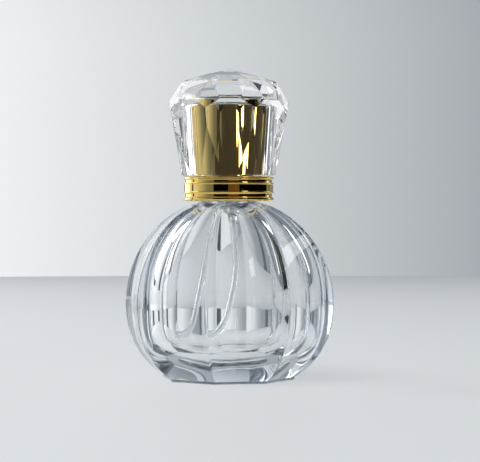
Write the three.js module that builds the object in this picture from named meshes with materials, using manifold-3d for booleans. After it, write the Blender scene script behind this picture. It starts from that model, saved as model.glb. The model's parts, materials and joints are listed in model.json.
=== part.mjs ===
// Perfume bottle with a fluted glass body, a crimped spray pump and a faceted pull-off cap.
// Millimetres, +Z up, base at z = 0, the spray nozzle faces -Y.
// Azimuths are measured from -Y, positive towards +X.
import * as THREE from "three";
import { ConvexGeometry } from "three/addons/geometries/ConvexGeometry.js";
import { mergeVertices } from "three/addons/utils/BufferGeometryUtils.js";
import manifoldModule from "manifold-3d";

// ---- driving dimensions: glass body ----
const BODY_RADIUS = 25.67;         // on a ridge, at the widest height
const BODY_WAIST_Z = 18.5;         // height of the widest ring
const BODY_RISE = 25.5;            // half-height of the ellipse above the waist
const BODY_DROP = 21.7;            // half-height of the fuller curve below the waist
const BODY_DROP_POWER = 2.25;
const PANELS = 8;                  // slightly hollow panels that meet in ridges
const PANEL_HOLLOW = 6;            // radius of the hollow in plan, in distances to its middle
const RIDGE = THREE.MathUtils.degToRad(-11);
const SHOULDER_Z = 41.7;           // where the panels stop
const BASE_EDGE = 0.5;             // rounding of the bottom edge
const BASE_LAND_RADIUS = 10;       // inner edge of the flat ring the bottle stands on
const PUNT_HEIGHT = 0.5;           // rise of the hollow under the base

// ---- driving dimensions: cavity and neck ----
const CAVITY_RADIUS = 18.6;
const CAVITY_WAIST_Z = 20;
const CAVITY_FLOOR_Z = 6.7;
const CAVITY_ROOF_Z = 41.2;
const CAVITY_FLOOR_POWER = 4.5;
const BORE_RADIUS = 4.65;
const NECK_RADIUS = 6.6;
const BEAD_RADIUS = 7.5;           // 15 mm crimp finish
const FINISH_Z = 46.6;             // top of the glass

// ---- driving dimensions: collar and crimp parts ----
const COLLAR_RADIUS = 10.95;
const COLLAR_GROOVE_RADIUS = 10.55;
const COLLAR_BASE_Z = 43.05;
const COLLAR_TOP_Z = 48.9;
const COLLAR_STEP_RADIUS = 6.75;   // upper step that the cap grips
const COLLAR_STEP_Z = 53.6;
const PLATE_Z = 48.35;             // top of the ferrule plate

// ---- driving dimensions: pump ----
const STEM_RADIUS = 1.65;
const STEM_BORE = 0.6;
const STEM_FOOT_Z = 43.4;
const STEM_TOP_Z = 58.4;
const CHAMBER_RADIUS = 2.6;
const CHAMBER_FLOOR_Z = 40.3;
const BALL_RADIUS = 0.85;
const BALL_Z = 38.6;
const TUBE_OUTER = 1.1;
const TUBE_INNER = 0.65;
const SPRING_RADIUS = 2.75;
const SPRING_WIRE = 0.2;
const SPRING_LOW_Z = 49.15;
const SPRING_HIGH_Z = 56.95;
const SPRING_TURNS = 7;

// ---- driving dimensions: spray head ----
const BUTTON_RADIUS = 5.25;
const BUTTON_BASE_Z = 52.5;
const BUTTON_TOP_Z = 60;
const SHELL_WALL = 0.4;
const NOZZLE_Z = 57.9;
const NOZZLE_RADIUS = 1.45;

// ---- driving dimensions: cap ----
const CAP_SIDES = 8;
const CAP_PHASE = THREE.MathUtils.degToRad(2);
const CAP_BASE_Z = 49.1;
const CAP_APEX_Z = 75.2;
const CAP_FLAT = 11.25;            // distance from the axis to a side facet, at the cap's base
const CAP_SPREAD = 0.176;          // how far a side facet leans out, per mm of height
const CROWN_RADIUS = 12.1;
const CROWN_Z = 71.6;
const GIRDLE_Z = 66.9;
const GIRDLE_HALF_ANGLE = THREE.MathUtils.degToRad(9.5);
const FOOT_HALF_ANGLE = THREE.MathUtils.degToRad(9);
const CORNER_CUT_Z = 60.6;         // tip of the triangular cut on each lower corner
const CAP_BORE = 8.6;
const CAP_BORE_Z = 66.75;
const SLEEVE_RADIUS = 8.45;
const SLEEVE_TOP_Z = 66.2;
const LINER_RADIUS = 8;
const LINER_GRIP = 7;

// ---- mesh fineness ----
const ROUND = 48;                  // facets round the wide turned parts
const SMALL_ROUND = 24;            // facets round the narrow ones
const PANEL_FACETS = 8;            // facets across one panel

const { Manifold, Mesh } = await loadManifold();

async function loadManifold() {
  const wasm = await manifoldModule();
  wasm.setup();
  return wasm;
}

const MATERIALS = {
  glass: new THREE.MeshStandardMaterial({ color: 0xdfe9ee, roughness: 0.05 }),
  acrylic: new THREE.MeshStandardMaterial({ color: 0xf2f5f7, roughness: 0.03 }),
  gold: new THREE.MeshStandardMaterial({ color: 0xd9a441, metalness: 1, roughness: 0.1 }),
  plastic: new THREE.MeshStandardMaterial({ color: 0xf1f1ee, roughness: 0.4 }),
  tube: new THREE.MeshStandardMaterial({ color: 0xe9ecec, roughness: 0.3 }),
  rubber: new THREE.MeshStandardMaterial({ color: 0x2c2c2e, roughness: 0.8 }),
  steel: new THREE.MeshStandardMaterial({ color: 0xb9bcc0, metalness: 1, roughness: 0.25 }),
  aluminium: new THREE.MeshStandardMaterial({ color: 0xd3d5d8, metalness: 1, roughness: 0.35 }),
};

// ---- geometry helpers ----

// Turns an outline of [radius, height] pairs about Z. An outline starts at its
// lower inner point, runs outwards and up, and ends on the axis or where it began.
function turned(outline, segments, phase = 0) {
  const points = outline.map(([radius, height]) => new THREE.Vector2(radius, height));
  return new THREE.LatheGeometry(points, segments, phase).rotateX(Math.PI / 2);
}

// The same about the Y axis, with heights read as y, and the axis lifted to height z.
function turnedAlongY(outline, segments, z) {
  const points = outline.map(([radius, y]) => new THREE.Vector2(radius, y));
  return new THREE.LatheGeometry(points, segments).translate(0, 0, z);
}

function closed(outline) {
  return [...outline, outline[0]];
}

function cylinderAlongY(radius, yLow, yHigh, z) {
  return turnedAlongY([[0, yLow], [radius, yLow], [radius, yHigh], [0, yHigh]], SMALL_ROUND, z);
}

// Joins shared corners and drops the empty triangles that a lathe leaves on its axis.
function welded(geometry) {
  const bare = new THREE.BufferGeometry();
  bare.setAttribute("position", geometry.getAttribute("position"));
  bare.setIndex(geometry.getIndex());
  const merged = mergeVertices(bare, 1e-4);
  const corners = merged.getIndex().array;
  const kept = [];
  for (let i = 0; i < corners.length; i += 3) {
    const [a, b, c] = corners.slice(i, i + 3);
    if (a !== b && b !== c && c !== a) kept.push(a, b, c);
  }
  merged.setIndex(kept);
  return merged;
}

function toManifold(geometry) {
  const source = welded(geometry);
  return new Manifold(new Mesh({
    numProp: 3,
    vertProperties: new Float32Array(source.getAttribute("position").array),
    triVerts: new Uint32Array(source.getIndex().array),
  }));
}

function fromManifold(solid) {
  const mesh = solid.getMesh();
  const geometry = new THREE.BufferGeometry();
  geometry.setAttribute("position", new THREE.BufferAttribute(mesh.vertProperties, 3));
  geometry.setIndex(new THREE.BufferAttribute(mesh.triVerts, 1));
  return geometry;
}

function cut(body, tools) {
  let solid = toManifold(body);
  for (const tool of tools) {
    solid = solid.subtract(toManifold(tool));
  }
  return fromManifold(solid);
}

function polar(radius, azimuth, z) {
  return new THREE.Vector3(radius * Math.sin(azimuth), -radius * Math.cos(azimuth), z);
}

// Points spaced more closely towards the end, from start to end inclusive.
function easedSteps(start, end, count) {
  const steps = [];
  for (let i = 0; i <= count; i += 1) {
    steps.push(start + (end - start) * Math.sin((i / count) * (Math.PI / 2)));
  }
  return steps;
}

// ---- glass body ----

// Radius of the body at a ridge, at a height.
function ridgeRadius(z) {
  if (z > BODY_WAIST_Z) {
    return BODY_RADIUS * Math.sqrt(1 - ((z - BODY_WAIST_Z) / BODY_RISE) ** 2);
  }
  const t = (BODY_WAIST_Z - z) / BODY_DROP;
  return BODY_RADIUS * (1 - t ** BODY_DROP_POWER) ** (1 / BODY_DROP_POWER);
}

function cavityRadius(z) {
  if (z > CAVITY_WAIST_Z) {
    return CAVITY_RADIUS * Math.sqrt(1 - ((z - CAVITY_WAIST_Z) / (CAVITY_ROOF_Z - CAVITY_WAIST_Z)) ** 2);
  }
  const t = (CAVITY_WAIST_Z - z) / (CAVITY_WAIST_Z - CAVITY_FLOOR_Z);
  return CAVITY_RADIUS * (1 - t ** CAVITY_FLOOR_POWER) ** (1 / CAVITY_FLOOR_POWER);
}

// Distance to a panel's arc at an angle from its middle, as a share of the distance there.
function panelReach(turn) {
  const centre = 1 + PANEL_HOLLOW;
  return centre * Math.cos(turn) - Math.sqrt(PANEL_HOLLOW ** 2 - (centre * Math.sin(turn)) ** 2);
}

// Radius at an azimuth as a share of the radius at a ridge.
function panelShare(azimuth) {
  const pitch = (2 * Math.PI) / PANELS;
  const turn = THREE.MathUtils.euclideanModulo(azimuth - RIDGE, pitch) - pitch / 2;
  return panelReach(turn) / panelReach(pitch / 2);
}

function glassOutline() {
  const base = [[0, PUNT_HEIGHT], [5, PUNT_HEIGHT * 0.85], [8.75, PUNT_HEIGHT * 0.4], [BASE_LAND_RADIUS, 0]];
  const panelled = [[ridgeRadius(BASE_EDGE) - BASE_EDGE * 1.1, 0]];
  const low = easedSteps(BODY_WAIST_Z, BASE_EDGE, 9).reverse();
  const high = easedSteps(BODY_WAIST_Z, SHOULDER_Z, 10).slice(1);
  for (const z of [...low, ...high]) {
    panelled.push([ridgeRadius(z), z]);
  }
  const neck = [
    [8.8, 42.3], [NECK_RADIUS, 42.7], [NECK_RADIUS, 43.8], [BEAD_RADIUS, 44.5],
    [BEAD_RADIUS, 46.2], [BEAD_RADIUS - 0.4, FINISH_Z], [BORE_RADIUS, FINISH_Z],
  ];
  const mouthZ = CAVITY_ROOF_Z - 0.8;
  const cavity = [[BORE_RADIUS, mouthZ]];
  for (const z of easedSteps(CAVITY_WAIST_Z, mouthZ - 0.4, 8).reverse()) {
    cavity.push([cavityRadius(z), z]);
  }
  for (const z of easedSteps(CAVITY_WAIST_Z, CAVITY_FLOOR_Z + 0.03, 8).slice(1)) {
    cavity.push([cavityRadius(z), z]);
  }
  cavity.push([0, CAVITY_FLOOR_Z]);
  return { points: [...base, ...panelled, ...neck, ...cavity], first: base.length, count: panelled.length };
}

function glassBottle() {
  const outline = glassOutline();
  const geometry = turned(outline.points, PANELS * PANEL_FACETS, RIDGE);
  const position = geometry.getAttribute("position");
  for (let i = 0; i < position.count; i += 1) {
    const station = i % outline.points.length;
    if (station < outline.first || station >= outline.first + outline.count) continue;
    const share = panelShare(Math.atan2(position.getX(i), -position.getY(i)));
    position.setXY(i, position.getX(i) * share, position.getY(i) * share);
  }
  return welded(geometry);
}

// ---- crimp, collar and seals ----

function neckGasket() {
  return turned(closed([[4.4, 46.65], [7.3, 46.65], [7.3, 47.25], [4.4, 47.25]]), ROUND);
}

function crimpFerrule() {
  return turned(closed([
    [6.85, 43.25], [8.1, 43.25], [8.1, PLATE_Z], [2.2, PLATE_Z],
    [2.2, 47.95], [7.75, 47.95], [7.75, 43.65], [6.85, 43.65],
  ]), ROUND);
}

function collarInsert() {
  return turned(closed([
    [8.15, 43.3], [8.75, 43.3], [8.75, 47.4], [9.65, 47.4],
    [9.65, 43.3], [10.2, 43.3], [10.2, PLATE_Z], [8.15, PLATE_Z],
  ]), ROUND);
}

// One raised band of the collar, with its two edges broken.
function collarBand(low, high, edge) {
  return [
    [COLLAR_RADIUS - edge, low], [COLLAR_RADIUS, low + edge],
    [COLLAR_RADIUS, high - edge], [COLLAR_RADIUS - edge, high],
  ];
}

function collar() {
  return turned(closed([
    [10.25, COLLAR_BASE_Z], ...collarBand(COLLAR_BASE_Z, 43.95, 0.2),
    [COLLAR_GROOVE_RADIUS, 43.95], [COLLAR_GROOVE_RADIUS, 44.9], ...collarBand(44.9, 47.4, 0.15),
    [COLLAR_GROOVE_RADIUS, 47.4], [COLLAR_GROOVE_RADIUS, 48.15], ...collarBand(48.15, COLLAR_TOP_Z, 0.2),
    [COLLAR_STEP_RADIUS, COLLAR_TOP_Z], [COLLAR_STEP_RADIUS, COLLAR_STEP_Z - 0.2],
    [COLLAR_STEP_RADIUS - 0.2, COLLAR_STEP_Z], [6.2, COLLAR_STEP_Z],
    [6.2, PLATE_Z + 0.05], [10.25, PLATE_Z + 0.05],
  ]), ROUND);
}

// ---- pump ----

function pumpHousing() {
  return turned(closed([
    [1.13, 36.4], [1.55, 36.4], [1.7, 38.6], [3.1, 39.4], [3.1, 42], [4.3, 42.6],
    [4.3, 47.3], [6.9, 47.3], [6.9, 47.9], [3.3, 47.9], [3.3, 46.2],
    [CHAMBER_RADIUS, 46.2], [CHAMBER_RADIUS, CHAMBER_FLOOR_Z],
    [0.7, CHAMBER_FLOOR_Z], [0.7, 40.05], [1.15, 39.75], [1.15, 38.5],
    [0.55, 37.9], [0.55, 37.3], [1.13, 37.3],
  ]), SMALL_ROUND);
}

function housingBushing() {
  return turned(closed([[1.72, 46.25], [3.25, 46.25], [3.25, 47.3], [1.72, 47.3]]), SMALL_ROUND);
}

function stemSeal() {
  return turned(closed([[1.7, 47.35], [3.2, 47.35], [3.2, 47.9], [1.7, 47.9]]), SMALL_ROUND);
}

function springGuide() {
  return turned(closed([
    [1.85, 48.4], [3.6, 48.4], [3.6, 48.9], [2.3, 48.9], [2.3, 50.5], [1.85, 50.5],
  ]), SMALL_ROUND);
}

function stem() {
  const body = turned([
    [0, STEM_FOOT_Z], [2.3, STEM_FOOT_Z], [2.3, 43.9], [STEM_RADIUS, 43.9],
    [STEM_RADIUS, 45.85], [2.2, 45.85], [2.2, 46.15], [STEM_RADIUS, 46.15],
    [STEM_RADIUS, STEM_TOP_Z], [STEM_BORE, STEM_TOP_Z], [STEM_BORE, 43.95], [0, 43.95],
  ], SMALL_ROUND);
  const port = cylinderAlongY(0.15, -2, 2, 44.13);
  return cut(body, [port]);
}

function piston() {
  return turned(closed([
    [1.7, 43.95], [2.35, 43.95], [2.55, 44.15], [2.4, 44.5], [2.4, 44.9], [2.55, 45.25],
    [2.35, 45.4], [1.7, 45.4],
  ]), SMALL_ROUND);
}

function inletBall() {
  return new THREE.SphereGeometry(BALL_RADIUS, 16, 10).rotateX(Math.PI / 2).translate(0, 0, BALL_Z);
}

// The tube leaves the pump straight down and curls to the left, low in the cavity.
function dipTubePath() {
  return new THREE.CatmullRomCurve3([
    new THREE.Vector3(0, 0, 37.25),
    new THREE.Vector3(0, 0, 34.5),
    new THREE.Vector3(0.3, 1.2, 30),
    new THREE.Vector3(0.1, 1.9, 26),
    new THREE.Vector3(-0.8, 1.6, 22),
    new THREE.Vector3(-2.4, 0.8, 18),
    new THREE.Vector3(-4.8, 0, 14.4),
    new THREE.Vector3(-8.3, -0.5, 12),
    new THREE.Vector3(-12.6, -0.5, 11.6),
  ], false, "centripetal");
}

function roundShape(radius, facets) {
  const corners = [];
  for (let i = 0; i < facets; i += 1) {
    const angle = (i / facets) * 2 * Math.PI;
    corners.push(new THREE.Vector2(radius * Math.cos(angle), radius * Math.sin(angle)));
  }
  return corners;
}

function dipTube() {
  const section = new THREE.Shape(roundShape(TUBE_OUTER, 12));
  section.holes.push(new THREE.Path(roundShape(TUBE_INNER, 12)));
  return new THREE.ExtrudeGeometry(section, { steps: 30, extrudePath: dipTubePath() });
}

class Helix extends THREE.Curve {
  getPoint(t, target = new THREE.Vector3()) {
    const angle = t * SPRING_TURNS * 2 * Math.PI;
    const z = THREE.MathUtils.lerp(SPRING_LOW_Z, SPRING_HIGH_Z, t);
    return target.set(SPRING_RADIUS * Math.cos(angle), SPRING_RADIUS * Math.sin(angle), z);
  }
}

function returnSpring() {
  const wire = new THREE.Shape(roundShape(SPRING_WIRE, 6));
  return new THREE.ExtrudeGeometry(wire, { steps: SPRING_TURNS * 12, extrudePath: new Helix() });
}

// ---- spray head ----

function actuatorButton() {
  const body = turned([
    [0, 59], [0.5, 59], [0.5, 58.45], [1.68, 58.45], [1.68, 54.2], [2.2, 54.2],
    [2.2, 57.2], [3.4, 57.2], [3.4, BUTTON_BASE_Z], [BUTTON_RADIUS, BUTTON_BASE_Z],
    [BUTTON_RADIUS, BUTTON_TOP_Z - 0.4], [BUTTON_RADIUS - 0.5, BUTTON_TOP_Z], [0, BUTTON_TOP_Z],
  ], SMALL_ROUND);
  const pocket = cylinderAlongY(NOZZLE_RADIUS + 0.05, -BUTTON_RADIUS - 1, -3.75, NOZZLE_Z);
  const channel = cylinderAlongY(0.25, -4, 0, 58.72);
  return cut(body, [pocket, channel]);
}

function actuatorShell() {
  const inner = BUTTON_RADIUS + 0.05;
  const outer = inner + SHELL_WALL;
  const top = BUTTON_TOP_Z + 0.05;
  const body = turned([
    [0, top], [inner - 0.5, top], [inner, top - 0.4], [inner, BUTTON_BASE_Z - 0.3],
    [outer, BUTTON_BASE_Z - 0.3], [outer, top - 0.3], [outer - 0.6, top + 0.25], [0, top + 0.25],
  ], ROUND);
  const window = cylinderAlongY(NOZZLE_RADIUS + 0.3, -outer - 1, -inner + 1.5, NOZZLE_Z);
  return cut(body, [window]);
}

// A small cup pressed into the button, with the spray hole through its front.
function sprayInsert() {
  return turnedAlongY(closed([
    [0.15, -5.5], [0.15, -5.2], [1, -4.9], [1, -3.8], [NOZZLE_RADIUS, -3.8], [NOZZLE_RADIUS, -5.5],
    [0.5, -5.5], [0.3, -5.35],
  ].reverse()), SMALL_ROUND, NOZZLE_Z);
}

// ---- cap ----

// Radius at which two neighbouring side facets meet, at a height.
function capCornerRadius(z) {
  const flat = CAP_FLAT + CAP_SPREAD * (z - CAP_BASE_Z);
  return flat / Math.cos(Math.PI / CAP_SIDES);
}

// Height where the plane through a crown corner and its two girdle corners reaches
// the edge between two side facets, so that each kite is flat.
function kiteFootZ() {
  const halfSide = Math.PI / CAP_SIDES;
  const girdleFlat = CAP_FLAT + CAP_SPREAD * (GIRDLE_Z - CAP_BASE_Z);
  const girdleRadius = girdleFlat / Math.cos(GIRDLE_HALF_ANGLE);
  const middle = girdleRadius * Math.cos(halfSide - GIRDLE_HALF_ANGLE);
  const slope = (middle - CROWN_RADIUS) / (CROWN_Z - GIRDLE_Z);
  const lean = CAP_SPREAD / Math.cos(halfSide);
  return (CROWN_RADIUS + slope * CROWN_Z - capCornerRadius(0)) / (slope + lean);
}

function capCorners() {
  const corners = [polar(0, 0, CAP_APEX_Z)];
  const footRadius = CAP_FLAT / Math.cos(FOOT_HALF_ANGLE);
  const girdleRadius = (CAP_FLAT + CAP_SPREAD * (GIRDLE_Z - CAP_BASE_Z)) / Math.cos(GIRDLE_HALF_ANGLE);
  for (let side = 0; side < CAP_SIDES; side += 1) {
    const middle = CAP_PHASE + (side * 2 * Math.PI) / CAP_SIDES;
    const edge = middle + Math.PI / CAP_SIDES;
    corners.push(polar(CROWN_RADIUS, edge, CROWN_Z));
    corners.push(polar(capCornerRadius(kiteFootZ()), edge, kiteFootZ()));
    corners.push(polar(capCornerRadius(CORNER_CUT_Z), edge, CORNER_CUT_Z));
    for (const way of [-1, 1]) {
      corners.push(polar(girdleRadius, middle + way * GIRDLE_HALF_ANGLE, GIRDLE_Z));
      corners.push(polar(footRadius, middle + way * FOOT_HALF_ANGLE, CAP_BASE_Z));
    }
  }
  return corners;
}

function capCrystal() {
  const bore = turned([
    [0, CAP_BASE_Z - 1], [CAP_BORE, CAP_BASE_Z - 1], [CAP_BORE, CAP_BORE_Z - 0.5],
    [CAP_BORE - 0.5, CAP_BORE_Z], [0, CAP_BORE_Z],
  ], ROUND);
  return cut(new ConvexGeometry(capCorners()), [bore]);
}

function capSleeve() {
  const inner = SLEEVE_RADIUS - 0.4;
  return turned([
    [0, SLEEVE_TOP_Z - 0.4], [inner, SLEEVE_TOP_Z - 0.4], [inner, 49.25], [SLEEVE_RADIUS, 49.25],
    [SLEEVE_RADIUS, SLEEVE_TOP_Z - 0.3], [SLEEVE_RADIUS - 0.3, SLEEVE_TOP_Z], [0, SLEEVE_TOP_Z],
  ], ROUND);
}

function capLiner() {
  const top = SLEEVE_TOP_Z - 0.5;
  return turned([
    [0, top - 0.5], [7.3, top - 0.5], [7.3, 54.2], [LINER_GRIP, 53.9], [LINER_GRIP, 49.3],
    [LINER_RADIUS, 49.3], [LINER_RADIUS, top], [0, top],
  ], ROUND);
}

// ---- assembly ----

const PIECES = [
  ["glass_bottle", glassBottle, "glass"],
  ["neck_gasket", neckGasket, "rubber"],
  ["crimp_ferrule", crimpFerrule, "aluminium"],
  ["collar_insert", collarInsert, "plastic"],
  ["collar", collar, "gold"],
  ["pump_housing", pumpHousing, "tube"],
  ["housing_bushing", housingBushing, "plastic"],
  ["stem_seal", stemSeal, "rubber"],
  ["spring_guide", springGuide, "plastic"],
  ["dip_tube", dipTube, "tube"],
  ["return_spring", returnSpring, "steel"],
  ["inlet_ball", inletBall, "steel"],
  ["stem", stem, "plastic"],
  ["piston", piston, "plastic"],
  ["actuator_button", actuatorButton, "plastic"],
  ["actuator_shell", actuatorShell, "gold"],
  ["spray_insert", sprayInsert, "plastic"],
  ["cap_crystal", capCrystal, "acrylic"],
  ["cap_sleeve", capSleeve, "gold"],
  ["cap_liner", capLiner, "plastic"],
];

function perfumeBottle() {
  const bottle = new THREE.Group();
  bottle.name = "perfume_bottle";
  for (const [name, build, material] of PIECES) {
    const mesh = new THREE.Mesh(build(), MATERIALS[material]);
    mesh.name = name;
    bottle.add(mesh);
  }
  return bottle;
}

export default perfumeBottle();
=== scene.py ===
"""Looks for the perfume bottle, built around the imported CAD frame.

Outlines and sizes are in millimetres, as in the CAD, and become metres when a mesh is made.
Azimuths are measured from -Y, the front, positive towards +X.
"""

import json
import math

import bmesh
import bpy
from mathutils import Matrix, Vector, noise


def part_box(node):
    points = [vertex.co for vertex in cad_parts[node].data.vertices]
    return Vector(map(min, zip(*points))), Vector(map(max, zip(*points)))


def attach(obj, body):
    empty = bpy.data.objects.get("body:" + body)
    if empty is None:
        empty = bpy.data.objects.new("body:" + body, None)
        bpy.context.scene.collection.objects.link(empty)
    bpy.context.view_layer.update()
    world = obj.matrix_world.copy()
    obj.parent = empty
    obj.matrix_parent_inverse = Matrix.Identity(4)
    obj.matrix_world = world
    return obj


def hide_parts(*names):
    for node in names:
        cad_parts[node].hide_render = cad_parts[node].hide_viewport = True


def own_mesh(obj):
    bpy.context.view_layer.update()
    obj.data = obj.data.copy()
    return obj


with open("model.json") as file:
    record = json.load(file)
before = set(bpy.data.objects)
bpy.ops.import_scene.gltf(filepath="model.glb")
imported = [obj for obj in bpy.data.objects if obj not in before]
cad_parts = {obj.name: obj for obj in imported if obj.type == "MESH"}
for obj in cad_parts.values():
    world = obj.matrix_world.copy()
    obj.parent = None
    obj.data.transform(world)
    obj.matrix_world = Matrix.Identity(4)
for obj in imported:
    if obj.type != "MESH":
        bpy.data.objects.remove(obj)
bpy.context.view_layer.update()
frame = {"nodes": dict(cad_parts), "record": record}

MM = 0.001


def top_of(node):
    """Height of a CAD node's highest point, in millimetres."""
    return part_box(node)[1].z / MM


def foot_of(node):
    """Height of a CAD node's lowest point, in millimetres."""
    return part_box(node)[0].z / MM


def radius_of(node):
    """Half the width of a CAD node, in millimetres."""
    low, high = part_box(node)
    return (high.x - low.x) / 2 / MM


# ---- glass ----
PANELS = 8
RIDGE = math.radians(-11)  # azimuth of one ridge between two panels
PANEL_HOLLOW = 6  # radius of a panel's hollow in plan, in distances to its middle
RIDGE_SOFTNESS = 0.0022  # rounding along a ridge, as a share of the distance to a panel's middle
BODY_RADIUS = radius_of("glass_bottle") / math.cos(RIDGE)  # on a ridge; the widest is RIDGE off +X
BODY_WAIST = 18.5
BODY_RISE = 25.5
BODY_DROP = 21.7
BODY_DROP_POWER = 2.25
SHOULDER = 41.7
BASE_EDGE = 0.7
BASE_LAND = 10
PUNT = 0.5
CAVITY_RADIUS = 18.6
CAVITY_WAIST = 20
CAVITY_FLOOR = 6.7
CAVITY_ROOF = 41.2
CAVITY_FLOOR_POWER = 4.5
CAVITY_RIPPLE = 0.07
RIPPLE_SLOW = Vector((0.09, 0.09, 0.07))  # waves per millimetre along X, Y and Z
RIPPLE_QUICK = Vector((0.25, 0.25, 0.12))
RIPPLE_QUICK_SHARE = 0.35
RIPPLE_FADE = 6  # the ripple dies away towards the axis within this radius
BORE = 4.65
BORE_FOOT = CAVITY_ROOF - 0.8
NECK = 6.6
NECK_FOOT = 42.9
NECK_FLARE = (8.8, 42.3)
BEAD = 7.5
BEAD_FOOT = 44.4
BEAD_CHAMFER = 0.6
NECK_EDGE = 0.5
FINISH = top_of("glass_bottle")

# ---- collar and cap ----
COLLAR_RADIUS = radius_of("collar")
COLLAR_FOOT = foot_of("collar")
COLLAR_STEP = top_of("collar")
COLLAR_TOP = 48.9
COLLAR_STEP_RADIUS = 6.75
COLLAR_BORE = 10.25
COLLAR_STEP_BORE = 6.2
COLLAR_CEILING = 48.4
COLLAR_CHAMFER = 0.25
COLLAR_EDGE = 0.12
LOWER_GROOVE = (43.95, 44.9)
UPPER_GROOVE = (47.4, 48.15)
GROOVE_DEPTH = 0.4
RIB = 0.3  # height of the narrow rib along each edge of the middle band
BAND_DEPTH = 0.12  # how far the middle band stands behind its ribs
BAND_CHAMFER = 0.1
CAP_SIDES = 8
CAP_PHASE = math.radians(2)
CAP_FOOT = foot_of("cap_crystal")
CAP_APEX = top_of("cap_crystal")
CAP_FLAT = 11.25
CAP_SPREAD = 0.176
CROWN_RADIUS = 12.1
CROWN = 71.6
GIRDLE = 66.9
GIRDLE_HALF_ANGLE = math.radians(9.5)
FOOT_HALF_ANGLE = math.radians(9)
CORNER_CUT = 60.6
CAP_EDGE = 0.13
CAP_BORE = 8.6
CAP_BORE_TOP = 66.75
CAP_BORE_CHAMFER = (0.6, 0.5)
CAP_BORE_EDGE = 0.3
COPLANAR = math.radians(0.6)  # facets that meet at less than this are one facet
FACET_ANGLE = math.radians(9)  # edges sharper than this stay crisp
SLEEVE_RADIUS = radius_of("cap_sleeve")
SLEEVE_TOP = top_of("cap_sleeve")
SLEEVE_FOOT = foot_of("cap_sleeve")
SLEEVE_WALL = 0.4
SLEEVE_EDGE = 0.35

# ---- dip tube ----
TUBE_OUTER = 1.1
TUBE_INNER = 0.65
TUBE_ROUTE = [
    (0, 0, 37.25), (0, 0, 34.5), (0.3, 1.2, 30), (0.1, 1.9, 26), (-0.8, 1.6, 22),
    (-2.4, 0.8, 18), (-4.8, 0, 14.4), (-8.3, -0.5, 12), (-12.6, -0.5, 11.6),
]

# ---- return spring ----
SPRING_WIRE = 0.2
SPRING_RADIUS = radius_of("return_spring") - SPRING_WIRE
SPRING_LOW = foot_of("return_spring") + SPRING_WIRE
SPRING_HIGH = top_of("return_spring") - SPRING_WIRE
SPRING_TURNS = 7

# ---- studio, in metres ----
FLOOR_RADIUS = 0.7
FLOOR_COLOUR = (0.85, 0.87, 0.88)
SCREENS = [
    # name, first and last azimuth in degrees, distance, lowest and highest edge, colour
    ("dim_screen", -38, 116, 0.92, -0.05, 1.3, (0.045, 0.042, 0.026)),
    ("dark_screen", -38, 116, 0.9, -0.05, 0.25, (0.002, 0.0016, 0.0012)),
    ("brown_screen", 0, 28, 0.88, -0.05, 0.2, (0.16, 0.095, 0.045)),
]
SLATS = [(-157, -149), (-132, -124), (-107, -101), (151, 157), (124, 132)]
SLAT_DISTANCE = 0.9
SLAT_HEIGHTS = (-0.3, 0.6)
SLAT_COLOUR = (0.14, 0.17, 0.21)
SCREEN_FADES = (0.04, 0.45)  # a screen fades in up to the first share of its height, out past the second
# the surround's colour by direction; each ramp lists its two ends first, and the ramps multiply
WALL_ACROSS = [
    (0.0, (1.0, 1.02, 1.04)), (1.0, (0.25, 0.28, 0.3)),
    (0.2, (0.78, 0.81, 0.84)), (0.42, (0.88, 0.91, 0.93)), (0.5, (0.62, 0.65, 0.67)),
    (0.6, (0.3, 0.33, 0.36)),
]
WALL_ALONG = [(0.0, (0.22, 0.24, 0.27)), (1.0, (1, 1, 1)), (0.5, (0.75, 0.78, 0.81))]
WALL_UP = [(0.0, (1, 1, 1)), (1.0, (0.1, 0.11, 0.13)), (0.35, (0.7, 0.72, 0.76))]
WALL_RAMPS = [("X", -1, 1, WALL_ACROSS), ("Y", -0.6, 0.6, WALL_ALONG), ("Z", 0.1, 0.9, WALL_UP)]
LIGHTS = [
    # name, azimuth, distance, height, (width, height), radiance
    ("left_rear_strip", -132, 0.7, 0.18, (0.38, 0.3), 2.2),
    ("right_front_strip", 46, 0.85, 0.42, (0.2, 0.32), 5),
    ("left_window", -118, 0.8, 0.62, (0.16, 0.36), 5),
    ("right_rear_strip", 128, 0.8, 0.3, (0.1, 0.5), 2),
]
OVERHEAD = ("overhead", -60, 0.3, 1.1, (0.9, 0.9), 3.6)
LIGHT_AIM = 0.03  # height that the lights face

CAMERA_LENS = 126.15  # focal length in millimetres
CAMERA_PLACE = (0.0028, -0.407, 0.0394)
CAMERA_TILT = math.radians(0.51)  # below level

# ---- mesh fineness ----
ROUND = 192
PANEL_STEPS = 40


# ---------------------------------------------------------------- mesh helpers


def filleted(outline, radius, closed, steps=4):
    """The outline with each sharp corner rounded to about the radius, less where an edge is short."""
    points = [Vector(p) for p in outline]
    count = len(points)
    rounded = []
    for i, here in enumerate(points):
        if not closed and i in (0, count - 1):
            rounded.append(here)
            continue
        to_last = points[i - 1] - here
        to_next = points[(i + 1) % count] - here
        half = to_last.angle(to_next) / 2
        if half > math.radians(84):
            rounded.append(here)
            continue
        reach = min(radius / math.tan(half), 0.45 * to_last.length, 0.45 * to_next.length)
        start = here + to_last.normalized() * reach
        end = here + to_next.normalized() * reach
        for k in range(steps + 1):
            t = k / steps
            rounded.append(start * (1 - t) ** 2 + here * 2 * t * (1 - t) + end * t**2)
    return rounded


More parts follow.
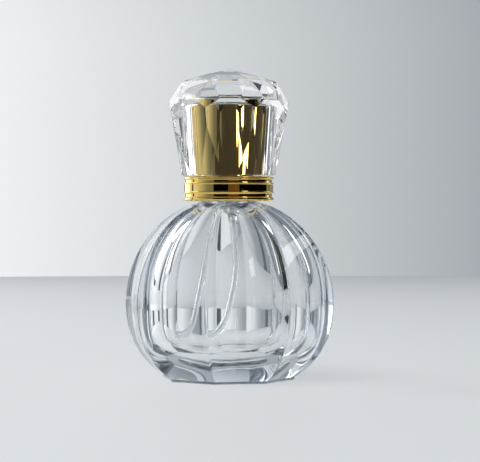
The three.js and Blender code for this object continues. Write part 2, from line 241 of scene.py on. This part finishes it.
def new_object(name, vertices, faces):
    """A smooth-shaded mesh object from points in millimetres, with its faces turned outwards."""
    mesh = bpy.data.meshes.new(name)
    mesh.from_pydata([Vector(v) * MM for v in vertices], [], faces)
    tidy = bmesh.new()
    tidy.from_mesh(mesh)
    bmesh.ops.remove_doubles(tidy, verts=tidy.verts, dist=1e-7)
    bmesh.ops.recalc_face_normals(tidy, faces=tidy.faces)
    tidy.to_mesh(mesh)
    tidy.free()
    mesh.shade_smooth()
    piece = bpy.data.objects.new(name, mesh)
    bpy.context.scene.collection.objects.link(piece)
    return piece


def even_shading(piece):
    """Keeps wide flat faces evenly shaded beside their narrow rounded edges."""
    weighted = piece.modifiers.new("even_shading", "WEIGHTED_NORMAL")
    weighted.keep_sharp = True
    return piece


def ring_faces(first, second, count):
    """Quads between two rings of vertices that start at these indices."""
    return [
        (first + j, first + (j + 1) % count, second + (j + 1) % count, second + j)
        for j in range(count)
    ]


def turned(name, outline, edge, closed=True):
    """A solid turned about Z. An open outline starts and ends on the axis."""
    profile = filleted(outline, edge, closed)
    vertices = []
    for radius, height in profile:
        for j in range(ROUND):
            azimuth = 2 * math.pi * j / ROUND
            vertices.append((radius * math.sin(azimuth), -radius * math.cos(azimuth), height))
    faces = []
    for i in range(len(profile) - (0 if closed else 1)):
        following = (i + 1) % len(profile)
        faces += ring_faces(i * ROUND, following * ROUND, ROUND)
    return even_shading(new_object(name, vertices, faces))


def polar(radius, azimuth, height):
    return Vector((radius * math.sin(azimuth), -radius * math.cos(azimuth), height))


# ---------------------------------------------------------------- glass


def ridge_radius(z):
    if z > BODY_WAIST:
        return BODY_RADIUS * math.sqrt(1 - ((z - BODY_WAIST) / BODY_RISE) ** 2)
    t = (BODY_WAIST - z) / BODY_DROP
    return BODY_RADIUS * (1 - t**BODY_DROP_POWER) ** (1 / BODY_DROP_POWER)


def cavity_radius(z):
    if z > CAVITY_WAIST:
        t = (z - CAVITY_WAIST) / (CAVITY_ROOF - CAVITY_WAIST)
        return CAVITY_RADIUS * math.sqrt(1 - t**2)
    t = (CAVITY_WAIST - z) / (CAVITY_WAIST - CAVITY_FLOOR)
    return CAVITY_RADIUS * (1 - t**CAVITY_FLOOR_POWER) ** (1 / CAVITY_FLOOR_POWER)


def panel_reach(turn):
    """Distance to a panel's arc at an angle from its middle, as a share of the distance there."""
    centre = 1 + PANEL_HOLLOW
    inside = max(PANEL_HOLLOW**2 - (centre * math.sin(turn)) ** 2, 0)
    return centre * math.cos(turn) - math.sqrt(inside)


def soft_least(reaches):
    """The least of the reaches, eased where two of them are nearly equal."""
    least = min(reaches)
    excess = sum(math.exp((least - reach) / RIDGE_SOFTNESS) for reach in reaches)
    return least - RIDGE_SOFTNESS * math.log(excess)


def panel_share(azimuth):
    """Outside radius at an azimuth as a share of the radius at a ridge."""
    pitch = 2 * math.pi / PANELS
    turn = (azimuth - RIDGE) % pitch - pitch / 2
    reaches = [panel_reach(offset) for offset in (turn - pitch, turn, turn + pitch)]
    return soft_least(reaches) / soft_least([panel_reach(pitch / 2)] * 2)


def eased(start, end, count):
    """Heights from start to end, closer together towards the end."""
    return [start + (end - start) * math.sin(k / count * math.pi / 2) for k in range(count + 1)]


def base_edge():
    """The rounded bottom edge of the body, from the standing ring outwards."""
    points = []
    steps = 6
    for k in range(steps + 1):
        angle = k / steps * math.pi / 2
        z = BASE_EDGE * (1 - math.cos(angle))
        inset = BASE_EDGE * (1 - math.sin(angle))
        points.append((ridge_radius(BASE_EDGE) - inset, z))
    return points


def outside_outline():
    panelled = base_edge()
    panelled += [(ridge_radius(z), z) for z in eased(BODY_WAIST, BASE_EDGE, 48)[::-1][1:]]
    panelled += [(ridge_radius(z), z) for z in eased(BODY_WAIST, SHOULDER, 60)[1:]]
    return panelled


def neck_outline():
    shoulder_end = (ridge_radius(SHOULDER), SHOULDER)
    under_bead = (NECK, BEAD_FOOT - BEAD_CHAMFER)
    shoulder = [shoulder_end, NECK_FLARE, (NECK, NECK_FOOT), under_bead]
    finish = [under_bead, (BEAD, BEAD_FOOT), (BEAD, FINISH), (BORE, FINISH), (BORE, BORE_FOOT)]
    return filleted(shoulder, NECK_EDGE, closed=False)[1:] + filleted(finish, NECK_EDGE, closed=False)[1:]


def cavity_outline():
    """The cavity from just under the bore down to the middle of its floor."""
    roof = [(cavity_radius(z), z) for z in eased(CAVITY_WAIST, BORE_FOOT - 0.1, 56)[::-1]]
    sides = [(cavity_radius(z), z) for z in eased(CAVITY_WAIST, CAVITY_FLOOR + 0.002, 44)[1:]]
    rim = sides[-1][0]
    floor = [(rim * share, CAVITY_FLOOR) for share in (0.8, 0.6, 0.4, 0.2, 0.0)]
    return roof + sides + floor


def glass_ripple(point):
    """A slow unevenness of moulded glass, in millimetres."""
    slow = noise.noise(point * RIPPLE_SLOW)
    quick = noise.noise(point * RIPPLE_QUICK + Vector((7, 3, 5)))
    return CAVITY_RIPPLE * (slow + RIPPLE_QUICK_SHARE * quick)


def make_glass():
    punt = [(BASE_LAND * s, PUNT * (1 - s**2) ** 2) for s in (0, 0.2, 0.4, 0.6, 0.8, 0.9, 1)]
    panelled = outside_outline()
    neck = neck_outline()
    cavity = cavity_outline()
    profile = punt + panelled + neck + cavity
    panelled_rings = range(len(punt), len(punt) + len(panelled))
    cavity_rings = range(len(punt) + len(panelled) + len(neck), len(profile))
    count = PANELS * PANEL_STEPS
    azimuths = [RIDGE + 2 * math.pi * j / count for j in range(count)]
    shares = [panel_share(azimuth) for azimuth in azimuths]
    vertices = []
    for i, (radius, height) in enumerate(profile):
        for azimuth, share in zip(azimuths, shares):
            at = polar(radius * (share if i in panelled_rings else 1), azimuth, height)
            if i in cavity_rings:
                outwards = Vector((at.x, at.y, 0)).normalized()
                at += outwards * glass_ripple(at) * min(1, radius / RIPPLE_FADE)
            vertices.append(at)
    faces = []
    for i in range(len(profile) - 1):
        faces += ring_faces(i * count, (i + 1) * count, count)
    return new_object("glass", vertices, faces)


# ---------------------------------------------------------------- collar, sleeve, cap, tube


def collar_band(low, high):
    """An outer band of the collar with chamfered edges, from its lower edge upwards."""
    inset = COLLAR_RADIUS - COLLAR_CHAMFER
    return [
        (inset, low), (COLLAR_RADIUS, low + COLLAR_CHAMFER),
        (COLLAR_RADIUS, high - COLLAR_CHAMFER), (inset, high),
    ]


def middle_band(low, high):
    """The wide band between the grooves: slightly set back between two narrow ribs."""
    face = COLLAR_RADIUS - BAND_DEPTH
    return [
        (COLLAR_RADIUS, low), (COLLAR_RADIUS, low + RIB), (face, low + RIB + BAND_CHAMFER),
        (face, high - RIB - BAND_CHAMFER), (COLLAR_RADIUS, high - RIB), (COLLAR_RADIUS, high),
    ]


def make_collar():
    groove = COLLAR_RADIUS - GROOVE_DEPTH
    outline = [(COLLAR_BORE, COLLAR_FOOT)]
    outline += collar_band(COLLAR_FOOT, LOWER_GROOVE[0])
    outline += [(groove, z) for z in LOWER_GROOVE]
    outline += middle_band(LOWER_GROOVE[1], UPPER_GROOVE[0])
    outline += [(groove, z) for z in UPPER_GROOVE]
    outline += collar_band(UPPER_GROOVE[1], COLLAR_TOP)
    outline += [
        (COLLAR_STEP_RADIUS, COLLAR_TOP), (COLLAR_STEP_RADIUS, COLLAR_STEP),
        (COLLAR_STEP_BORE, COLLAR_STEP), (COLLAR_STEP_BORE, COLLAR_CEILING),
        (COLLAR_BORE, COLLAR_CEILING),
    ]
    return turned("gold_collar", outline, edge=COLLAR_EDGE)


def make_sleeve():
    inner = SLEEVE_RADIUS - SLEEVE_WALL
    ceiling = SLEEVE_TOP - SLEEVE_WALL
    return turned("gold_sleeve", [
        (0, ceiling), (inner, ceiling), (inner, SLEEVE_FOOT),
        (SLEEVE_RADIUS, SLEEVE_FOOT), (SLEEVE_RADIUS, SLEEVE_TOP), (0, SLEEVE_TOP),
    ], closed=False, edge=SLEEVE_EDGE)


def cap_corner_radius(z):
    """Radius at which two neighbouring side facets meet."""
    return (CAP_FLAT + CAP_SPREAD * (z - CAP_FOOT)) / math.cos(math.pi / CAP_SIDES)


def kite_foot():
    """Height where a kite's plane reaches the edge between two side facets, so that it is flat."""
    half_side = math.pi / CAP_SIDES
    girdle_radius = (CAP_FLAT + CAP_SPREAD * (GIRDLE - CAP_FOOT)) / math.cos(GIRDLE_HALF_ANGLE)
    middle = girdle_radius * math.cos(half_side - GIRDLE_HALF_ANGLE)
    slope = (middle - CROWN_RADIUS) / (CROWN - GIRDLE)
    lean = CAP_SPREAD / math.cos(half_side)
    return (CROWN_RADIUS + slope * CROWN - cap_corner_radius(0)) / (slope + lean)


def cap_corners():
    corners = [polar(0, 0, CAP_APEX)]
    foot_radius = CAP_FLAT / math.cos(FOOT_HALF_ANGLE)
    girdle_radius = (CAP_FLAT + CAP_SPREAD * (GIRDLE - CAP_FOOT)) / math.cos(GIRDLE_HALF_ANGLE)
    for side in range(CAP_SIDES):
        middle = CAP_PHASE + side * 2 * math.pi / CAP_SIDES
        edge = middle + math.pi / CAP_SIDES
        corners.append(polar(CROWN_RADIUS, edge, CROWN))
        corners.append(polar(cap_corner_radius(kite_foot()), edge, kite_foot()))
        corners.append(polar(cap_corner_radius(CORNER_CUT), edge, CORNER_CUT))
        for way in (-1, 1):
            corners.append(polar(girdle_radius, middle + way * GIRDLE_HALF_ANGLE, GIRDLE))
            corners.append(polar(foot_radius, middle + way * FOOT_HALF_ANGLE, CAP_FOOT))
    return corners


def make_crystal():
    """The faceted cap: flat facets, finely rounded edges, and a smooth bore for the sleeve."""
    shape = bmesh.new()
    for corner in cap_corners():
        shape.verts.new(corner * MM)
    bmesh.ops.convex_hull(shape, input=shape.verts)
    bmesh.ops.dissolve_limit(
        shape, angle_limit=COPLANAR, verts=shape.verts, edges=shape.edges
    )
    bmesh.ops.bevel(
        shape, geom=shape.edges, offset=CAP_EDGE * MM, segments=2, profile=0.5, affect="EDGES"
    )
    bmesh.ops.recalc_face_normals(shape, faces=shape.faces)
    mesh = bpy.data.meshes.new("crystal_cap")
    shape.to_mesh(mesh)
    shape.free()
    crystal = bpy.data.objects.new("crystal_cap", mesh)
    bpy.context.scene.collection.objects.link(crystal)
    below = CAP_FOOT - 1
    bore = turned("crystal_bore", [
        (0, below), (CAP_BORE, below), (CAP_BORE, CAP_BORE_TOP - CAP_BORE_CHAMFER[1]),
        (CAP_BORE - CAP_BORE_CHAMFER[0], CAP_BORE_TOP), (0, CAP_BORE_TOP),
    ], closed=False, edge=CAP_BORE_EDGE)
    hollow = crystal.modifiers.new("hollow", "BOOLEAN")
    hollow.operation = "DIFFERENCE"
    hollow.solver = "EXACT"
    hollow.object = bore
    cut = bpy.data.meshes.new_from_object(crystal.evaluated_get(bpy.context.evaluated_depsgraph_get()))
    crystal.modifiers.clear()
    crystal.data = cut
    bpy.data.objects.remove(bore)
    cut.shade_smooth()
    cut.set_sharp_from_angle(angle=FACET_ANGLE)
    return even_shading(crystal)


def tube_points(samples=96):
    """Points along the tube's route, by Catmull-Rom through its named points."""
    route = [Vector(p) for p in TUBE_ROUTE]
    route = [route[0] * 2 - route[1]] + route + [route[-1] * 2 - route[-2]]
    spans = len(route) - 3
    points = []
    for k in range(samples + 1):
        along = k / samples * spans
        span = min(int(along), spans - 1)
        t = along - span
        a, b, c, d = route[span : span + 4]
        points.append(
            (b * 2 + (c - a) * t + (a * 2 - b * 5 + c * 4 - d) * t**2
             + (b * 3 - a - c * 3 + d) * t**3) / 2
        )
    return points


def swept(name, points, radii, side, count):
    """A round wire of one radius, or a pipe between two, along the points, its ends cut square."""
    vertices = []
    for i, at in enumerate(points):
        ahead = (points[min(i + 1, len(points) - 1)] - points[max(i - 1, 0)]).normalized()
        side = (side - ahead * side.dot(ahead)).normalized()
        other = ahead.cross(side)
        for radius in radii:
            for j in range(count):
                angle = 2 * math.pi * j / count
                vertices.append(at + (side * math.cos(angle) + other * math.sin(angle)) * radius)
    faces = []
    step = len(radii) * count
    last = (len(points) - 1) * step
    for low in range(0, last, step):
        for skin in range(len(radii)):
            faces += ring_faces(low + skin * count, low + step + skin * count, count)
    if len(radii) == 1:
        faces += [tuple(range(count)), tuple(range(last, last + count))]
    else:
        faces += ring_faces(0, count, count)
        faces += ring_faces(last, last + count, count)
    return even_shading(new_object(name, vertices, faces))


def make_tube():
    return swept("tube", tube_points(), (TUBE_OUTER, TUBE_INNER), Vector((0, 1, 0)), 32)


def make_spring():
    """The return spring, a helix of round wire between the ends of the CAD spring."""
    count = SPRING_TURNS * 40
    points = []
    for k in range(count + 1):
        turn = 2 * math.pi * SPRING_TURNS * k / count
        height = SPRING_LOW + (SPRING_HIGH - SPRING_LOW) * k / count
        points.append(Vector((SPRING_RADIUS * math.cos(turn), SPRING_RADIUS * math.sin(turn), height)))
    return swept("spring", points, (SPRING_WIRE,), Vector((0, 0, 1)), 12)


# ---------------------------------------------------------------- materials


def principled(name, **sockets):
    """A material with a Principled shader; sockets are its inputs, written with underscores."""
    made = bpy.data.materials.new(name)
    made.use_nodes = True
    shader = made.node_tree.nodes["Principled BSDF"]
    for socket, value in sockets.items():
        shader.inputs[socket.replace("_", " ")].default_value = value
    return made


def add_node(made, kind, **settings):
    node = made.node_tree.nodes.new(kind)
    for key, value in settings.items():
        if key in node.inputs:
            node.inputs[key].default_value = value
        else:
            setattr(node, key, value)
    return node


def uneven(made, scale, low, high, bump, stretch=(1, 1, 1)):
    """Roughness that wanders between low and high, and a matching faint bump, over the object."""
    links = made.node_tree.links
    shader = made.node_tree.nodes["Principled BSDF"]
    place = add_node(made, "ShaderNodeTexCoord")
    mapping = add_node(made, "ShaderNodeMapping")
    mapping.inputs["Scale"].default_value = stretch
    grain = add_node(made, "ShaderNodeTexNoise", Scale=scale, Detail=4.0)
    spread = add_node(made, "ShaderNodeMapRange")
    spread.inputs["To Min"].default_value = low
    spread.inputs["To Max"].default_value = high
    links.new(place.outputs["Object"], mapping.inputs["Vector"])
    links.new(mapping.outputs["Vector"], grain.inputs["Vector"])
    links.new(grain.outputs["Fac"], spread.inputs["Value"])
    links.new(spread.outputs["Result"], shader.inputs["Roughness"])
    relief = add_node(made, "ShaderNodeBump")
    relief.inputs["Strength"].default_value = 1.0
    relief.inputs["Distance"].default_value = bump * MM
    links.new(grain.outputs["Fac"], relief.inputs["Height"])
    links.new(relief.outputs["Normal"], shader.inputs["Normal"])
    return made


def absorbing(made, colour, density):
    """Tints what is seen through the solid by how thick it is."""
    tint = add_node(made, "ShaderNodeVolumeAbsorption")
    tint.inputs["Color"].default_value = (*colour, 1)
    tint.inputs["Density"].default_value = density
    output = made.node_tree.nodes["Material Output"]
    made.node_tree.links.new(tint.outputs["Volume"], output.inputs["Volume"])
    return made


def make_materials():
    clear = {"Base_Color": (1, 1, 1, 1), "Transmission_Weight": 1.0}
    metal = {"Metallic": 1.0}
    made = {
        "glass": principled("glass", IOR=1.52, **clear),
        "acrylic": principled("acrylic", IOR=1.49, Specular_Tint=(0.4, 0.4, 0.4, 1), **clear),
        "tube": principled(
            "tube", Base_Color=(0.93, 0.95, 0.96, 1), Transmission_Weight=0.92, IOR=1.5
        ),
        "gold": principled("gold", Base_Color=(0.92, 0.66, 0.20, 1), **metal),
        "plastic": principled(
            "plastic", Base_Color=(0.86, 0.86, 0.84, 1), Subsurface_Weight=0.15,
            Subsurface_Scale=0.001,
        ),
        "rubber": principled("rubber", Base_Color=(0.02, 0.02, 0.022, 1)),
        "steel": principled("steel", Base_Color=(0.6, 0.61, 0.63, 1), **metal),
        "aluminium": principled("aluminium", Base_Color=(0.85, 0.86, 0.87, 1), **metal),
    }
    uneven(made["glass"], 60, 0.0, 0.012, 0.004)
    uneven(made["acrylic"], 90, 0.0, 0.01, 0.001)
    uneven(made["tube"], 400, 0.06, 0.16, 0.01)
    uneven(made["gold"], 500, 0.015, 0.04, 0.0004, stretch=(1, 1, 0.15))
    uneven(made["plastic"], 900, 0.32, 0.48, 0.004)
    uneven(made["rubber"], 1200, 0.6, 0.85, 0.01)
    uneven(made["steel"], 1500, 0.18, 0.32, 0.002)
    uneven(made["aluminium"], 700, 0.25, 0.4, 0.003)
    absorbing(made["glass"], (0.5, 0.6, 0.68), 12)
    return made


def dress(piece, material):
    piece.data.materials.clear()
    piece.data.materials.append(material)


# ---------------------------------------------------------------- pieces on their bodies


def place_piece(piece, body, node, material):
    dress(piece, material)
    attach(piece, body)
    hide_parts(node)


def build_pieces(materials):
    for piece, body, node, slot in (
        (make_glass(), "bottle", "glass_bottle", "glass"),
        (make_collar(), "bottle", "collar", "gold"),
        (make_tube(), "bottle", "dip_tube", "tube"),
        (make_crystal(), "cap", "cap_crystal", "acrylic"),
        (make_sleeve(), "cap", "cap_sleeve", "gold"),
        (make_spring(), "bottle", "return_spring", "steel"),
    ):
        place_piece(piece, body, node, materials[slot])
        if slot in ("glass", "acrylic", "tube"):
            piece.visible_shadow = False
            piece.visible_diffuse = False


def shorten_spring():
    """Gives the spring its own copy of its mesh."""
    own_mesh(bpy.data.objects["spring"])


def dress_cad_nodes(materials):
    """Gives every CAD node that still shows its own procedural material and softened shading."""
    slots = {part["node"]: part["material_slot"] for part in frame["record"]["subparts"]}
    for name, node in frame["nodes"].items():
        dress(node, materials[slots[name]])
        node.data.shade_smooth()
        node.data.set_sharp_from_angle(angle=math.radians(32))


# ---------------------------------------------------------------- studio


def area_light(name, azimuth, distance, height, size, radiance):
    """A soft panel facing the middle of the body, of a given brightness whatever its size."""
    light = bpy.data.lights.new(name, "AREA")
    light.shape = "RECTANGLE"
    light.size, light.size_y = size
    light.energy = radiance * math.pi * size[0] * size[1]
    lamp = bpy.data.objects.new(name, light)
    bpy.context.scene.collection.objects.link(lamp)
    lamp.location = polar(distance, math.radians(azimuth), height)
    lamp.rotation_mode = "QUATERNION"
    lamp.rotation_quaternion = (lamp.location - Vector((0, 0, LIGHT_AIM))).to_track_quat("Z", "Y")
    lamp.visible_camera = False
    return lamp


def stage_mesh(name, vertices, faces, material):
    mesh = bpy.data.meshes.new(name)
    mesh.from_pydata(vertices, [], faces)
    mesh.materials.append(material)
    thing = bpy.data.objects.new(name, mesh)
    bpy.context.scene.collection.objects.link(thing)
    return thing


def make_floor():
    """A round pale table top, so that its far edge looks the same from every side."""
    count = 96
    rim = [polar(FLOOR_RADIUS, 2 * math.pi * k / count, 0) for k in range(count)]
    pale = principled("floor", Base_Color=(*FLOOR_COLOUR, 1))
    uneven(pale, 900, 0.5, 0.6, 0.01)
    stage_mesh("floor", rim, [tuple(range(count))], pale)


def set_stops(bar, stops):
    """Fills a colour ramp. The first two stops are its ends."""
    for element, (position, colour) in zip(bar.elements, stops):
        element.position, element.color = position, (*colour, 1)
    for position, colour in stops[2:]:
        bar.elements.new(position).color = (*colour, 1)


def feathered(name, colour):
    """A matt colour that fades out towards the screen's lower and upper edges."""
    made = principled(name, Base_Color=(*colour, 1), Roughness=1.0, Specular_IOR_Level=0.0)
    links = made.node_tree.links
    place = add_node(made, "ShaderNodeTexCoord")
    parts = add_node(made, "ShaderNodeSeparateXYZ")
    fade = add_node(made, "ShaderNodeValToRGB")
    fade.color_ramp.interpolation = "EASE"
    clear, full = (0, 0, 0), (1, 1, 1)
    set_stops(fade.color_ramp, [(0, clear), (1, clear)] + [(share, full) for share in SCREEN_FADES])
    links.new(place.outputs["Generated"], parts.inputs["Vector"])
    links.new(parts.outputs["Z"], fade.inputs["Fac"])
    links.new(fade.outputs["Color"], made.node_tree.nodes["Principled BSDF"].inputs["Alpha"])
    return made


def make_screen(name, start, end, radius, low, high, colour):
    """An upright curved screen that only shows in reflections and through the clear pieces."""
    steps = 24
    vertices = []
    for k in range(steps + 1):
        azimuth = math.radians(start + (end - start) * k / steps)
        vertices += [polar(radius, azimuth, low), polar(radius, azimuth, high)]
    faces = [(2 * k, 2 * k + 2, 2 * k + 3, 2 * k + 1) for k in range(steps)]
    card = stage_mesh(name, vertices, faces, feathered(name, colour))
    card.visible_camera = False
    card.visible_shadow = False
    card.visible_diffuse = False
    return card


def make_screens():
    """The gold mirrors the broad screens, and the glass turns the slats into thin dark lines."""
    for screen in SCREENS:
        make_screen(*screen)
    for number, (start, end) in enumerate(SLATS, start=1):
        make_screen(f"slat_{number}", start, end, SLAT_DISTANCE, *SLAT_HEIGHTS, SLAT_COLOUR)


def make_world():
    """A pale surround, lighter on the left, greyer on the right and towards the front."""
    world = bpy.data.worlds.new("studio")
    bpy.context.scene.world = world
    world.use_nodes = True
    nodes, links = world.node_tree.nodes, world.node_tree.links
    place = nodes.new("ShaderNodeTexCoord")
    parts = nodes.new("ShaderNodeSeparateXYZ")
    links.new(place.outputs["Generated"], parts.inputs["Vector"])

    def ramp(axis, low, high, stops):
        spread = nodes.new("ShaderNodeMapRange")
        spread.inputs["From Min"].default_value = low
        spread.inputs["From Max"].default_value = high
        colours = nodes.new("ShaderNodeValToRGB")
        set_stops(colours.color_ramp, stops)
        links.new(parts.outputs[axis], spread.inputs["Value"])
        links.new(spread.outputs["Result"], colours.inputs["Fac"])
        return colours.outputs["Color"]

    shade = ramp(*WALL_RAMPS[0])
    for settings in WALL_RAMPS[1:]:
        blend = nodes.new("ShaderNodeMix")
        blend.data_type = "RGBA"
        blend.blend_type = "MULTIPLY"
        blend.inputs["Factor"].default_value = 1.0
        links.new(shade, blend.inputs["A"])
        links.new(ramp(*settings), blend.inputs["B"])
        shade = blend.outputs["Result"]
    links.new(shade, nodes["Background"].inputs["Color"])


def make_lights():
    """The lights, and a wide one overhead that glass and gold don't mirror, for the floor."""
    for light in LIGHTS:
        area_light(*light)
    overhead = area_light(*OVERHEAD)
    overhead.visible_glossy = False
    overhead.visible_transmission = False


def make_camera():
    camera = bpy.data.cameras.new("camera")
    camera.lens = CAMERA_LENS
    camera.clip_start = 0.01
    view = bpy.data.objects.new("camera", camera)
    bpy.context.scene.collection.objects.link(view)
    view.location = CAMERA_PLACE
    view.rotation_euler = (math.pi / 2 - CAMERA_TILT, 0, 0)
    bpy.context.scene.camera = view


def make_studio():
    make_floor()
    make_screens()
    make_world()
    make_lights()
    make_camera()
    scene = bpy.context.scene
    scene.view_settings.view_transform = "Standard"
    scene.cycles.max_bounces = 32
    scene.cycles.glossy_bounces = 24
    scene.cycles.transmission_bounces = 32


materials = make_materials()
build_pieces(materials)
shorten_spring()
dress_cad_nodes(materials)
make_studio()
